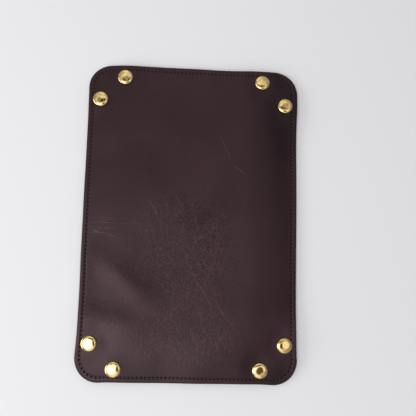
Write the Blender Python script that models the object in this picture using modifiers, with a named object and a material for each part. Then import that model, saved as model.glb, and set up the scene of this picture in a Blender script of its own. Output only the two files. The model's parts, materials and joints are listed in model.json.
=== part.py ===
"""Snap-up leather dice tray, unsnapped and lying face down, as separate named pieces.

Metres, +Z up. The origin is on the table under the middle of the sheet. +X is right, +Y is back.
The outer leather faces up and the lining faces the table, so the walls fold towards -Z.
The two sewn layers are one sheet each on the real tray. Here they are cut along the fold lines
into flat panels: the base, four walls, two ears at each corner, and a narrow crease strip
beside each corner's diagonal. Each moving panel hangs from an empty whose own X axis is its
fold line: a positive turn about X closes the tray.

Folded flat to shut: walls 90 degrees, ears 45 degrees, crease strips 90 degrees. The two ears of
a corner then stand face to face, as far apart as a closed snap is deep, and the stud on one
sits in the socket on the other.
"""

from math import atan2, cos, pi, sin, sqrt

import bmesh
import bpy
from mathutils import Matrix, Vector

MM = 0.001

# The sewn sheet
SHEET_WIDTH = 178.0 * MM
SHEET_LENGTH = 262.0 * MM
CORNER_RADIUS = 19.0 * MM
LEATHER_THICKNESS = 1.4 * MM
LINING_THICKNESS = 1.1 * MM
GLUE_LINE = 0.1 * MM
WALL_HEIGHT = 40.0 * MM
SLIT = 0.3 * MM
CREASE_SLIT = 0.7 * MM

# Where a snap sits on its ear: from the sheet's edge, and from the base's fold line carried on
SNAP_EDGE_INSET = 10.0 * MM
SNAP_FOLD_INSET = 10.0 * MM

# Running clearances of the snap hardware
SEAT_GAP = 0.1 * MM
HOLE_CLEARANCE = 0.15 * MM
SNAP_PLAY = 0.3 * MM
MOUTH_CLEARANCE = 0.4 * MM

# Cap: a domed head on a hollow barrel, which is flared over the stud or socket
CAP_RADIUS = 6.25 * MM
CAP_HEIGHT = 2.1 * MM
CAP_CROWN = 0.25 * MM
CAP_TOP_RADIUS = 4.3 * MM
CAP_RIM_HEIGHT = 0.8 * MM
CAP_CURL = 0.6 * MM
BARREL_RADIUS = 1.2 * MM
BARREL_WALL = 0.35 * MM
FLARE_OVERHANG = 0.4 * MM
FLARE_THICKNESS = 0.3 * MM

# The metal at the middle of a stud or a socket, which a barrel is flared over
RIVETED_SHEET = 0.4 * MM

# Stud, the male half
STUD_FLANGE_RADIUS = 4.9 * MM
STUD_FLANGE_THICKNESS = 0.8 * MM
STUD_SHEET = 0.35 * MM
NECK_HEIGHT = 1.2 * MM
HEAD_HEIGHT = 1.2 * MM
HEAD_BULGE = 0.4 * MM
FLARE_ROOM = 0.15 * MM

# Socket, the female half, and the ring spring inside it
SOCKET_RADIUS = 5.5 * MM
SOCKET_RIM_THICKNESS = 1.0 * MM
SOCKET_WALL = 0.7 * MM
SOCKET_HEIGHT = 3.2 * MM
SOCKET_LIP = 0.45 * MM
SPRING_WIRE_RADIUS = 0.25 * MM
SPRING_NECK_CLEARANCE = 0.15 * MM
SPRING_CHAMBER_CLEARANCE = 0.5 * MM
SPRING_OPENING = pi / 4

# Facets
CAP_STEPS = 24
HARDWARE_STEPS = 20
HOLE_STEPS = 20
CORNER_STEPS = 7
SPRING_STEPS = 12
AXIS_MERGE = 0.01 * MM

# Places that follow from the sizes above
SHEET_THICKNESS = LINING_THICKNESS + GLUE_LINE + LEATHER_THICKNESS
NECK_RADIUS = BARREL_RADIUS + FLARE_OVERHANG + FLARE_ROOM + STUD_SHEET
HEAD_RADIUS = NECK_RADIUS + HEAD_BULGE
STUD_HEIGHT = STUD_FLANGE_THICKNESS + NECK_HEIGHT + HEAD_HEIGHT
MOUTH_RADIUS = HEAD_RADIUS + MOUTH_CLEARANCE
SPRING_RADIUS = NECK_RADIUS + SPRING_NECK_CLEARANCE + SPRING_WIRE_RADIUS
CHAMBER_RADIUS = SPRING_RADIUS + SPRING_WIRE_RADIUS + SPRING_CHAMBER_CLEARANCE
CLOSED_SNAP_DEPTH = STUD_FLANGE_THICKNESS + SNAP_PLAY + SOCKET_HEIGHT

LINING_Z = max(STUD_HEIGHT, SOCKET_HEIGHT)
LEATHER_Z = LINING_Z + LINING_THICKNESS + GLUE_LINE
OUTER_Z = LINING_Z + SHEET_THICKNESS
BASE_X = SHEET_WIDTH / 2 - WALL_HEIGHT
BASE_Y = SHEET_LENGTH / 2 - WALL_HEIGHT
HALF_SLIT = SLIT / 2

# The ears of a corner shut parallel, half a closed snap each side of the diagonal.
# A crease strip bridges that half, and the ear's own fold line is set back along the wall.
STRIP_WIDTH = CLOSED_SNAP_DEPTH / 2
EAR_SETBACK = sqrt(2) * (STRIP_WIDTH + SHEET_THICKNESS) - SHEET_THICKNESS

# Distances from the diagonal, measured along a wall's edge
STRIP_NEAR = sqrt(2) * CREASE_SLIT / 2
STRIP_FOLD = sqrt(2) * STRIP_WIDTH
STRIP_FAR = STRIP_FOLD - sqrt(2) * HALF_SLIT
EAR_NEAR = STRIP_FOLD + sqrt(2) * HALF_SLIT

CORNERS = {
    "front_left": (-1, -1),
    "front_right": (1, -1),
    "back_left": (-1, 1),
    "back_right": (1, 1),
}


def start_empty():
    """Remove every object, and make the collection that the tray's parts go in."""
    for obj in list(bpy.data.objects):
        bpy.data.objects.remove(obj, do_unlink=True)
    tray = bpy.data.collections.new("dice_tray")
    bpy.context.scene.collection.children.link(tray)
    return tray


def material(name, colour, roughness, metallic=0.0):
    made = bpy.data.materials.new(name)
    made.use_nodes = True
    shader = made.node_tree.nodes["Principled BSDF"]
    shader.inputs["Base Color"].default_value = (*colour, 1.0)
    shader.inputs["Roughness"].default_value = roughness
    shader.inputs["Metallic"].default_value = metallic
    made.diffuse_color = (*colour, 1.0)
    return made


def fold_line(name, point, direction, parent=None):
    """An empty on a joint's axis, with its own X along the axis. It hangs from its parent's."""
    axis = bpy.data.objects.new(name, None)
    axis.empty_display_size = SNAP_EDGE_INSET
    aim = Vector(direction).to_track_quat("X", "Z").to_matrix().to_4x4()
    axis.matrix_basis = Matrix.Translation(point) @ aim
    TRAY.objects.link(axis)
    PLACES[axis] = axis.matrix_basis.copy()
    if parent:
        hang(axis, parent)
    return axis


def hang(obj, axis):
    """Parent obj to an axis and leave it where it is in the world."""
    obj.parent = axis
    obj.matrix_parent_inverse = PLACES[axis].inverted()


def panel(name, outlines, bottom, thickness, axis, finish):
    """A flat piece with upright edges: its first outline is the border, and any others are holes."""
    origin = PLACES[axis].translation
    curve = bpy.data.curves.new(name, "CURVE")
    curve.dimensions = "2D"
    curve.fill_mode = "BOTH"
    curve.extrude = thickness / 2
    for outline in outlines:
        spline = curve.splines.new("POLY")
        spline.points.add(len(outline) - 1)
        spline.use_cyclic_u = True
        for point, (x, y) in zip(spline.points, outline):
            point.co = (x - origin.x, y - origin.y, 0.0, 1.0)
    curve.materials.append(finish)
    piece = bpy.data.objects.new(name, curve)
    piece.location = (origin.x, origin.y, bottom + thickness / 2)
    TRAY.objects.link(piece)
    hang(piece, axis)
    return piece


def turned_mesh(name, profile, steps, finish, closed):
    """A profile of (radius, height) points turned about Z. A closed profile makes a ring."""
    outline = bmesh.new()
    points = [outline.verts.new((radius, 0.0, height)) for radius, height in profile]
    for start, end in zip(points, points[1:] + points[:1] if closed else points[1:]):
        outline.edges.new((start, end))
    flat = bpy.data.meshes.new(name + "_profile")
    outline.to_mesh(flat)
    outline.free()
    blank = bpy.data.objects.new(name + "_blank", flat)
    bpy.context.scene.collection.objects.link(blank)
    turning = blank.modifiers.new("turning", "SCREW")
    turning.steps = steps
    turning.render_steps = steps
    turning.use_merge_vertices = True
    turning.merge_threshold = AXIS_MERGE
    bpy.context.view_layer.update()
    turned = blank.evaluated_get(bpy.context.evaluated_depsgraph_get())
    shape = bpy.data.meshes.new_from_object(turned)
    shape.name = name
    shape.materials.clear()
    shape.materials.append(finish)
    shape.shade_smooth()
    shape.set_sharp_from_angle(angle=pi / 5)
    bpy.data.objects.remove(blank, do_unlink=True)
    bpy.data.meshes.remove(flat)
    return shape


def place_turned(name, shape, x, y, z, axis):
    piece = bpy.data.objects.new(name, shape)
    piece.location = (x, y, z)
    TRAY.objects.link(piece)
    hang(piece, axis)
    return piece


def arc(centre, radius, start, end, steps):
    """Points along an arc, both ends included."""
    turns = [start + (end - start) * i / steps for i in range(steps + 1)]
    return [(centre[0] + radius * cos(turn), centre[1] + radius * sin(turn)) for turn in turns]


def cap_profile():
    """Domed head with a rolled rim, standing on z = 0, and the flared barrel below it."""
    grip = SHEET_THICKNESS + 2 * SEAT_GAP + RIVETED_SHEET
    shoulder_fall = CAP_HEIGHT - CAP_CROWN - CAP_RIM_HEIGHT
    shoulder_run = CAP_RADIUS - CAP_TOP_RADIUS
    shoulder = [
        (CAP_TOP_RADIUS + shoulder_run * sin(turn), CAP_RIM_HEIGHT + shoulder_fall * cos(turn))
        for turn in (0, pi / 6, pi / 3, pi / 2)
    ]
    flare_top = -(grip + SEAT_GAP)
    flare_bottom = flare_top - FLARE_THICKNESS
    bore_radius = BARREL_RADIUS - BARREL_WALL
    return [
        (0.0, CAP_HEIGHT),
        (CAP_TOP_RADIUS / 2, CAP_HEIGHT - CAP_CROWN / 4),
        *shoulder,
        (CAP_RADIUS - CAP_CURL, SEAT_GAP),
        (BARREL_RADIUS, SEAT_GAP),
        (BARREL_RADIUS, flare_top),
        (BARREL_RADIUS + FLARE_OVERHANG, flare_top),
        (BARREL_RADIUS + FLARE_OVERHANG, flare_bottom),
        (bore_radius, flare_bottom),
        (bore_radius, SEAT_GAP),
        (0.0, SEAT_GAP),
    ]


def stud_profile():
    """Hat-shaped stud below z = 0: a flange against the lining, a neck, and a hollow head."""
    hole = BARREL_RADIUS + HOLE_CLEARANCE
    cavity = BARREL_RADIUS + FLARE_OVERHANG + FLARE_ROOM
    neck_top = -STUD_FLANGE_THICKNESS
    head_top = neck_top - NECK_HEIGHT
    head_middle = head_top - HEAD_HEIGHT / 2
    tip = -STUD_HEIGHT
    return [
        (STUD_FLANGE_RADIUS, -SEAT_GAP),
        (STUD_FLANGE_RADIUS, neck_top / 2),
        (NECK_RADIUS + STUD_SHEET, neck_top),
        (NECK_RADIUS, neck_top - STUD_SHEET),
        (NECK_RADIUS, head_top),
        (HEAD_RADIUS, head_middle),
        (cavity + STUD_SHEET / 2, tip),
        (cavity, tip),
        (cavity, -SEAT_GAP - RIVETED_SHEET),
        (hole, -SEAT_GAP - RIVETED_SHEET),
        (hole, -SEAT_GAP),
    ]


def socket_profile():
    """Stepped ring below z = 0: a plate against the lining, and a chamber under an inward lip."""
    hole = BARREL_RADIUS + HOLE_CLEARANCE
    collar = CHAMBER_RADIUS + SOCKET_WALL
    mouth = -SOCKET_HEIGHT
    chamber_end = mouth + SOCKET_LIP
    return [
        (SOCKET_RADIUS, -SEAT_GAP),
        (SOCKET_RADIUS, -SOCKET_RIM_THICKNESS),
        (collar, -SOCKET_RIM_THICKNESS),
        (collar, chamber_end),
        (collar - SOCKET_WALL / 2, mouth),
        (MOUTH_RADIUS + SOCKET_LIP / 2, mouth),
        (MOUTH_RADIUS, mouth + SOCKET_LIP / 2),
        (MOUTH_RADIUS, chamber_end),
        (CHAMBER_RADIUS, chamber_end),
        (CHAMBER_RADIUS, -SEAT_GAP - RIVETED_SHEET),
        (hole, -SEAT_GAP - RIVETED_SHEET),
        (hole, -SEAT_GAP),
    ]


def ring_spring(name, x, y, axis, finish):
    """A C of round wire that lies on the socket's lip, open towards the sheet's middle."""
    depth = SOCKET_HEIGHT - SOCKET_LIP - SEAT_GAP - SPRING_WIRE_RADIUS
    start = SPRING_OPENING / 2
    wire = bpy.data.curves.new(name, "CURVE")
    wire.dimensions = "3D"
    wire.bevel_depth = SPRING_WIRE_RADIUS
    wire.bevel_resolution = 1
    wire.use_fill_caps = True
    spline = wire.splines.new("POLY")
    spline.points.add(SPRING_STEPS)
    turn = arc((0.0, 0.0), SPRING_RADIUS, start, 2 * pi - start, SPRING_STEPS)
    for point, (along, across) in zip(spline.points, turn):
        point.co = (along, across, 0.0, 1.0)
    wire.materials.append(finish)
    piece = bpy.data.objects.new(name, wire)
    piece.location = (x, y, LINING_Z - depth)
    piece.rotation_euler.z = atan2(-y, -x)
    TRAY.objects.link(piece)
    hang(piece, axis)
    return piece


def corner_crossing(offset):
    """Where the line v = u + offset meets the rounded corner, as an angle about the corner's centre."""
    across = (sqrt(2 * CORNER_RADIUS**2 - offset**2) - offset) / 2
    return atan2(across + offset, across)


def ear_outline():
    """The ear of an end wall, in corner coordinates: from the base's corner, u outward and v outward."""
    centre = WALL_HEIGHT - CORNER_RADIUS
    rounded = arc((centre, centre), CORNER_RADIUS, corner_crossing(EAR_NEAR), pi / 2, CORNER_STEPS)
    inner = HALF_SLIT - EAR_SETBACK
    return [(inner, HALF_SLIT), (HALF_SLIT - EAR_NEAR, HALF_SLIT), *rounded, (inner, WALL_HEIGHT)]


def strip_outline():
    """The crease strip beside the diagonal, on the end wall's side, in the same coordinates."""
    centre = WALL_HEIGHT - CORNER_RADIUS
    ends = corner_crossing(STRIP_NEAR), corner_crossing(STRIP_FAR)
    rounded = arc((centre, centre), CORNER_RADIUS, *ends, 1)
    return [(HALF_SLIT - STRIP_FAR, HALF_SLIT), (HALF_SLIT - STRIP_NEAR, HALF_SLIT), *rounded]


def to_sheet(outline, corner, swap):
    """Corner coordinates to X and Y. A side wall's outline is an end wall's, mirrored in the diagonal."""
    across, along = corner
    turned = [(v, u) if swap else (u, v) for u, v in outline]
    return [(across * (BASE_X + u), along * (BASE_Y + v)) for u, v in turned]


def rectangle(left, right, front, back):
    return [(left, front), (right, front), (right, back), (left, back)]


def layers(name, outlines, axis):
    """Both layers of one panel: the lining below, the outer leather above it."""
    panel(name + "_lining", outlines, LINING_Z, LINING_THICKNESS, axis, SUEDE)
    panel(name + "_leather", outlines, LEATHER_Z, LEATHER_THICKNESS, axis, LEATHER)


def make_base():
    middle = fold_line("axis_base", (0.0, 0.0, LINING_Z), (1, 0, 0))
    half_x = BASE_X - HALF_SLIT
    half_y = BASE_Y - HALF_SLIT
    layers("base", [rectangle(-half_x, half_x, -half_y, half_y)], middle)
    return middle


def make_walls(base):
    """The four walls, each on a fold line at the lining's face. A positive turn takes a wall to -Z."""
    span_x = BASE_X - EAR_SETBACK - HALF_SLIT
    span_y = BASE_Y - EAR_SETBACK - HALF_SLIT
    near_x, far_x = BASE_X + HALF_SLIT, BASE_X + WALL_HEIGHT
    near_y, far_y = BASE_Y + HALF_SLIT, BASE_Y + WALL_HEIGHT
    walls = {
        "right": ((BASE_X, 0.0), (0, 1, 0), rectangle(near_x, far_x, -span_y, span_y)),
        "left": ((-BASE_X, 0.0), (0, -1, 0), rectangle(-far_x, -near_x, -span_y, span_y)),
        "back": ((0.0, BASE_Y), (-1, 0, 0), rectangle(-span_x, span_x, near_y, far_y)),
        "front": ((0.0, -BASE_Y), (1, 0, 0), rectangle(-span_x, span_x, -far_y, -near_y)),
    }
    axes = {}
    for side, ((x, y), direction, outline) in walls.items():
        axes[side] = fold_line("axis_wall_" + side, (x, y, LINING_Z), direction, base)
        layers("wall_" + side, [outline], axes[side])
    return axes


def make_ear(place, corner, swap, wall):
    """One ear, its crease strip, and its half of the corner's snap. swap is true on a side wall."""
    across, along = corner
    kind = "side" if swap else "end"
    [(hinge_x, hinge_y)] = to_sheet([(-EAR_SETBACK, 0.0)], corner, swap)
    outward = (along, 0, 0) if swap else (0, -across, 0)
    ear = fold_line(f"axis_ear_{place}_{kind}", (hinge_x, hinge_y, OUTER_Z), outward, wall)
    snap = (SNAP_FOLD_INSET, WALL_HEIGHT - SNAP_EDGE_INSET)
    [(snap_x, snap_y)] = to_sheet([snap], corner, swap)
    hole = arc((snap_x, snap_y), BARREL_RADIUS + HOLE_CLEARANCE, 0.0, 2 * pi, HOLE_STEPS)[:-1]
    layers(f"ear_{place}_{kind}", [to_sheet(ear_outline(), corner, swap), hole], ear)

    [(crease_x, crease_y)] = to_sheet([(-STRIP_FOLD, 0.0)], corner, swap)
    turn = -across * along if swap else across * along
    inward = (turn * across, turn * along, 0)
    crease = fold_line(f"axis_crease_{place}_{kind}", (crease_x, crease_y, LINING_Z), inward, ear)
    strip = to_sheet(strip_outline(), corner, swap)
    panel(f"crease_{place}_{kind}", [strip], LINING_Z, SHEET_THICKNESS, crease, LEATHER)

    place_turned(f"cap_{place}_{kind}", CAP, snap_x, snap_y, OUTER_Z, ear)
    if swap:
        place_turned("socket_" + place, SOCKET, snap_x, snap_y, LINING_Z, ear)
        ring_spring("ring_spring_" + place, snap_x, snap_y, ear, STEEL)
    else:
        place_turned("stud_" + place, STUD, snap_x, snap_y, LINING_Z, ear)


TRAY = start_empty()
PLACES = {}
LEATHER = material("outer_leather", (0.045, 0.022, 0.022), 0.42)
SUEDE = material("suede_lining", (0.075, 0.036, 0.032), 0.95)
BRASS = material("polished_brass", (0.80, 0.60, 0.25), 0.18, 1.0)
STEEL = material("spring_steel", (0.55, 0.55, 0.56), 0.30, 1.0)
CAP = turned_mesh("cap", cap_profile(), CAP_STEPS, BRASS, closed=False)
STUD = turned_mesh("stud", stud_profile(), HARDWARE_STEPS, BRASS, closed=True)
SOCKET = turned_mesh("socket", socket_profile(), HARDWARE_STEPS, BRASS, closed=True)

WALLS = make_walls(make_base())
for PLACE, CORNER in CORNERS.items():
    end_name, side_name = PLACE.split("_")
    make_ear(PLACE, CORNER, False, WALLS[end_name])
    make_ear(PLACE, CORNER, True, WALLS[side_name])
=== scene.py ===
# %% [markdown]
# # A snap-up dice tray, opened flat and lying face down
#
# The real tray is one sheet of oxblood leather with a soft lining sewn to its back. Two brass snap caps
# sit at each corner. Pressed together in pairs they fold the corners and stand the four walls up.
# Here the tray lies open with its outer side up, so we see leather, stitches and the eight caps.
# This script dresses the solid model of that tray. Outline, fold lines, layer heights and snap places are
# read from the model's frame; what only the looks need is written here.

# %% Load the solid model as a fixed frame
import json

import bpy
import numpy as np
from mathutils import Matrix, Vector


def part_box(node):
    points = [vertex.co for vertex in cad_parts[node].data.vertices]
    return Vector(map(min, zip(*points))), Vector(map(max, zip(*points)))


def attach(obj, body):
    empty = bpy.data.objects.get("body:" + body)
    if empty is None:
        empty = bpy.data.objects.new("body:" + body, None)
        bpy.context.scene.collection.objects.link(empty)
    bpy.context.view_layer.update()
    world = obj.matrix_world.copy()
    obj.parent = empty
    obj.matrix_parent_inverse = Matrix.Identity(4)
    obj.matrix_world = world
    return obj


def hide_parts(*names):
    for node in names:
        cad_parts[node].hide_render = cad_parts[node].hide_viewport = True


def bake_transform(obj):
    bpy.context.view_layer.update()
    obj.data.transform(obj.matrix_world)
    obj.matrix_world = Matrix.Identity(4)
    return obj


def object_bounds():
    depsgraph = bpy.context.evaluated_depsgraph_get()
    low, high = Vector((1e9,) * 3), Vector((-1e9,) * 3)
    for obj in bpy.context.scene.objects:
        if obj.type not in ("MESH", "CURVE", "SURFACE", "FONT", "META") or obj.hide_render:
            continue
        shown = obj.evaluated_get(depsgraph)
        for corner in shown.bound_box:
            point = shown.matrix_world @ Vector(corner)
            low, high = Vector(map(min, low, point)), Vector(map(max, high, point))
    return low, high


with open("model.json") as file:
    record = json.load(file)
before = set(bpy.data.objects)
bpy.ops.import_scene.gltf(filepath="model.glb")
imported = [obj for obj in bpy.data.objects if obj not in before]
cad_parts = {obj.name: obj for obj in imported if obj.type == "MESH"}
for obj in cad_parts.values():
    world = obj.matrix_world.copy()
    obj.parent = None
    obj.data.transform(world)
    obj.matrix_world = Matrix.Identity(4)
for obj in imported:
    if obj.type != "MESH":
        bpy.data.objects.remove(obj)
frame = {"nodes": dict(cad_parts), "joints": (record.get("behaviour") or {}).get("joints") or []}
cad_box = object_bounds()
MM = 0.001

# %% [markdown]
# ## Sizes taken from the frame
#
# The fold lines are the joints' own positions, the layers' heights are the corners of the solids' boxes,
# and the half sheet is the box of the whole tray. If the solid model changes, the sheet below follows it.
# What no box or joint tells, such as the corner radius, is written again where it is needed.

# %% Sizes of the sheet and its folds
joints = {joint["name"]: joint for joint in frame["joints"]}
BASE = np.array([joints["wall_right_fold"]["pos_m"][0], joints["wall_back_fold"]["pos_m"][1]])
HALF = np.array([cad_box[1].x, cad_box[1].y])
CORNER_RADIUS = 19.0 * MM
OUTER_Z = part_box("base_leather")[1].z
LEATHER_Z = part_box("base_leather")[0].z
LINING_TOP_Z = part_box("base_lining")[1].z
LINING_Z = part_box("base_lining")[0].z
EAR_SETBACK = BASE[0] - abs(joints["ear_back_right_end_fold"]["pos_m"][0])
WALL_HEIGHT = HALF[0] - BASE[0]
print("layer heights", OUTER_Z, LEATHER_Z, LINING_TOP_Z, LINING_Z)
print("half sheet", HALF, "base", BASE, "ear set back", round(EAR_SETBACK / MM, 2), "mm")

# %% [markdown]
# ## The camera
#
# The photograph was taken by hand from nearly straight above. The camera was a little to the front of the
# tray's middle and looked a few degrees to the back and to the right. Place and turn were found by fitting
# the sheet's edges and the eight caps to the picture.

# %% Camera
SENSOR_WIDTH, FOCAL_LENGTH = 36.0, 38.942
CAMERA_RIGHT, CAMERA_BACK, CAMERA_RISE = -6.12 * MM, -30.55 * MM, 374.09 * MM
CAMERA_TURN = np.radians((6.196, -3.229, 1.264))
camera_data = bpy.data.cameras.new("camera")
camera_data.sensor_width = SENSOR_WIDTH
camera_data.lens = FOCAL_LENGTH
camera = bpy.data.objects.new("camera", camera_data)
camera.location = (CAMERA_RIGHT, CAMERA_BACK, CAMERA_RISE + OUTER_Z)
camera.rotation_euler = CAMERA_TURN
bpy.context.scene.collection.objects.link(camera)
bpy.context.scene.camera = camera
print("camera at", tuple(round(c, 4) for c in camera.location))

# %% [markdown]
# ## The way round the edge
#
# Stitches, needle holes and the painted edge all follow the sheet's outline. Two numbers say where any
# point of the sheet lies beside it: how far in from the edge (the inset) and how far round (the way along,
# measured on the seam line). On a straight side both are plain coordinates. In a rounded corner the inset
# is the corner's radius less the distance to its centre, and the way along is an angle times a radius.
# A hand-cut edge isn't true, so a few places of it are then moved out or in by some tenths of a millimetre
# up to almost two.

# %% Inset and way along, and back again
STITCH_INSET = 4.0 * MM
STITCH_LENGTH = 3.25 * MM
CORE = HALF - CORNER_RADIUS
SEAM_RADIUS = CORNER_RADIUS - STITCH_INSET
QUARTER = SEAM_RADIUS * np.pi / 2
SIDES = 2 * np.array([CORE[1], CORE[0], CORE[1], CORE[0]])
STARTS = np.concatenate([[0.0], np.cumsum(SIDES + QUARTER)])
ROUND_TRIP = STARTS[-1]
STITCH_COUNT = int(round(ROUND_TRIP / STITCH_LENGTH))
STITCH_PITCH = ROUND_TRIP / STITCH_COUNT


def inset_of(x, y):
    """The corner radius less the distance by which a point lies outside the sheet's core rectangle."""
    over_x = np.maximum(np.abs(x) - CORE[0], 0.0)
    over_y = np.maximum(np.abs(y) - CORE[1], 0.0)
    inside = np.minimum(HALF[0] - np.abs(x), HALF[1] - np.abs(y))
    return np.where((over_x > 0) & (over_y > 0), CORNER_RADIUS - np.hypot(over_x, over_y), inside)


def along_of(x, y):
    """The way along, counterclockwise from the right side's front end: each side's coordinate, and
    between two sides the corner's angle times the seam's radius."""
    side_x = np.clip(x, -CORE[0], CORE[0])
    side_y = np.clip(y, -CORE[1], CORE[1])
    angle = np.arctan2(y - side_y, x - side_x)
    bend = np.mod(angle, np.pi / 2) * SEAM_RADIUS
    on_x = np.abs(x) - CORE[0] >= np.abs(y) - CORE[1]
    corner = (np.abs(x) > CORE[0]) & (np.abs(y) > CORE[1])
    right = STARTS[0] + side_y + CORE[1]
    back = STARTS[1] + CORE[0] - side_x
    left = STARTS[2] + CORE[1] - side_y
    front = STARTS[3] + side_x + CORE[0]
    flat = np.where(on_x, np.where(x > 0, right, left), np.where(y > 0, back, front))
    number = np.select([(x > 0) & (y > 0), (x <= 0) & (y > 0), (x <= 0) & (y <= 0)], [1, 2, 3], 4)
    return np.where(corner, STARTS[number] - QUARTER + bend, flat)


def outline_point(along, inset):
    """The point at a way along and an inset, and the way out there: on a side a straight step, in a corner
    a turn about the corner's centre."""
    along = np.mod(along, ROUND_TRIP)
    side = np.clip(np.searchsorted(STARTS, along, side="right") - 1, 0, 3)
    past = along - STARTS[side]
    turn = np.maximum(past - SIDES[side], 0.0) / SEAM_RADIUS + side * np.pi / 2
    straight = np.minimum(past, SIDES[side])
    begin = np.array([(1, -1), (1, 1), (-1, 1), (-1, -1)]) * CORE
    heading = np.array([(0, 1), (-1, 0), (0, -1), (1, 0)])
    centre = begin[side] + heading[side] * straight[..., None]
    outward = np.stack([np.cos(turn), np.sin(turn)], -1)
    return centre + outward * (CORNER_RADIUS - inset)[..., None], outward


# Where the cut strays from the true outline: place on the sheet (x, y), how far out, over what length, in mm
STRAYS = MM * np.array([
    (-89.0, -112.0, 0.9, 9.0), (-89.0, 20.0, 0.3, 60.0), (-83.4, 125.4, 0.5, 9.0), (-55.0, 131.0, 0.8, 26.0),
    (-8.0, 131.0, 1.2, 26.0), (60.0, 131.0, 0.5, 14.0), (83.4, 125.4, 1.0, 9.0), (89.0, 103.0, 0.7, 12.0),
    (89.0, 20.0, 0.9, 55.0), (80.9, -127.6, 1.75, 10.0), (45.0, -131.0, 0.7, 32.0),
    (-30.0, -131.0, 0.6, 40.0), (-70.0, -131.0, -0.4, 12.0), (-79.5, -128.5, 1.2, 8.0),
])
STRAY_DEPTH = 10.0 * MM
STRAY_WAYS = along_of(STRAYS[:, 0], STRAYS[:, 1])


def stray(along, inset):
    """How far out a point is moved: a sum of bell curves along the edge, times a bell curve of the inset."""
    out = np.zeros_like(along)
    for way, (_, _, far, reach) in zip(STRAY_WAYS, STRAYS):
        off = along - way - ROUND_TRIP * np.round((along - way) / ROUND_TRIP)
        out = out + far * np.exp(-((off / reach) ** 2) / 2)
    return out * np.exp(-((inset / STRAY_DEPTH) ** 2))


print("stitches round the sheet", STITCH_COUNT, "pitch", round(STITCH_PITCH / MM, 3), "mm")

# %% [markdown]
# ## How the flat sheet really lies
#
# No leather sheet is flat. This one has been folded many times, so its walls and corner tips droop from the
# fold lines towards the table, while round each snap it stays as flat as the metal holds it. A worn hide
# also keeps ridges and swells, and they shape the soft lights in the photograph. All of it is one height
# over the table, a sum of smooth terms, so every piece cut from the sheet lies in the same surface and no
# seam shows. Where the sum would sink into the table, a soft maximum lets the sheet land on it instead.

# %% Relief of the sheet
LEFT_DROOP, RIGHT_DROOP = 0.7 * MM, 3.1 * MM
FRONT_DROOP, BACK_DROOP = 1.7 * MM, 1.3 * MM
DROOP_POWER, DROOP_LIMIT = 1.8, 1.05
SIDE_FADE, END_FADE = (45 * MM, 105 * MM), (15 * MM, 65 * MM)
TIP_DROOP, TIP_START, TIP_END, TIP_LIMIT = 1.6 * MM, 30.0 * MM, 49.0 * MM, 1.2
EDGE_WAVE, WAVE_DEPTH, WAVE_SHIFT = 0.18 * MM, 16.0 * MM, 0.8
WAVE_LENGTHS = (7.5 * MM, 9.0 * MM)
EDGE_PUFF, GROOVE, GROOVE_WIDTH = 0.16 * MM, 0.24 * MM, 0.55 * MM
SNAP_REACH = 13.0 * MM
# The lining's face lands this far over the table, which leaves room for the stitches under it
STITCH_ROOM = 0.35 * MM
LOWEST, LANDING = STITCH_ROOM - LINING_Z, 0.35 * MM
SNAPS = np.array([
    [(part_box(name)[0].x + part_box(name)[1].x) / 2, (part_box(name)[0].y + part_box(name)[1].y) / 2]
    for name in sorted(frame["nodes"]) if name.startswith("cap_")
])
# Swells as (middle x, middle y, half length, half width, turn, height), in mm and degrees
SWELLS = np.array([
    (-54.0, -50.0, 19.0, 7.5, -38.0, 1.35),
    (-63.0, -85.0, 18.0, 9.0, -17.0, 1.62),
    (-78.0, -11.0, 33.0, 9.0, 57.0, 0.95),
    (30.0, -106.0, 43.0, 20.0, 45.0, 1.48),
    (-36.0, -30.0, 31.0, 22.0, -30.0, -1.40),
    (-69.0, -68.0, 12.0, 32.0, 4.0, -1.38),
    (-43.0, 61.0, 28.0, 11.0, 13.0, -1.05),
    (-22.0, 60.0, 30.0, 13.0, 0.0, -0.23),
    (48.0, 81.0, 23.0, 49.0, 19.0, 1.50),
    (84.0, 77.0, 66.0, 9.0, 94.0, -1.49),
    (-81.0, 104.0, 38.0, 9.0, 75.0, -1.44),
    (82.0, -109.0, 35.0, 9.0, 74.0, -1.18),
    (-27.0, -28.0, 54.0, 26.0, 37.0, -1.49),
    (60.0, 17.0, 90.0, 16.0, 94.0, 1.50),
    (39.0, -99.0, 38.0, 20.0, 39.0, 1.48),
    (8.0, 128.0, 79.0, 9.0, -2.0, -1.41),
])


def fade(value, one, zero):
    """Smooth step from 1 at the first value to 0 at the second."""
    share = np.clip((value - one) / (zero - one), 0, 1)
    return 1 - share * share * (3 - 2 * share)


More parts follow.
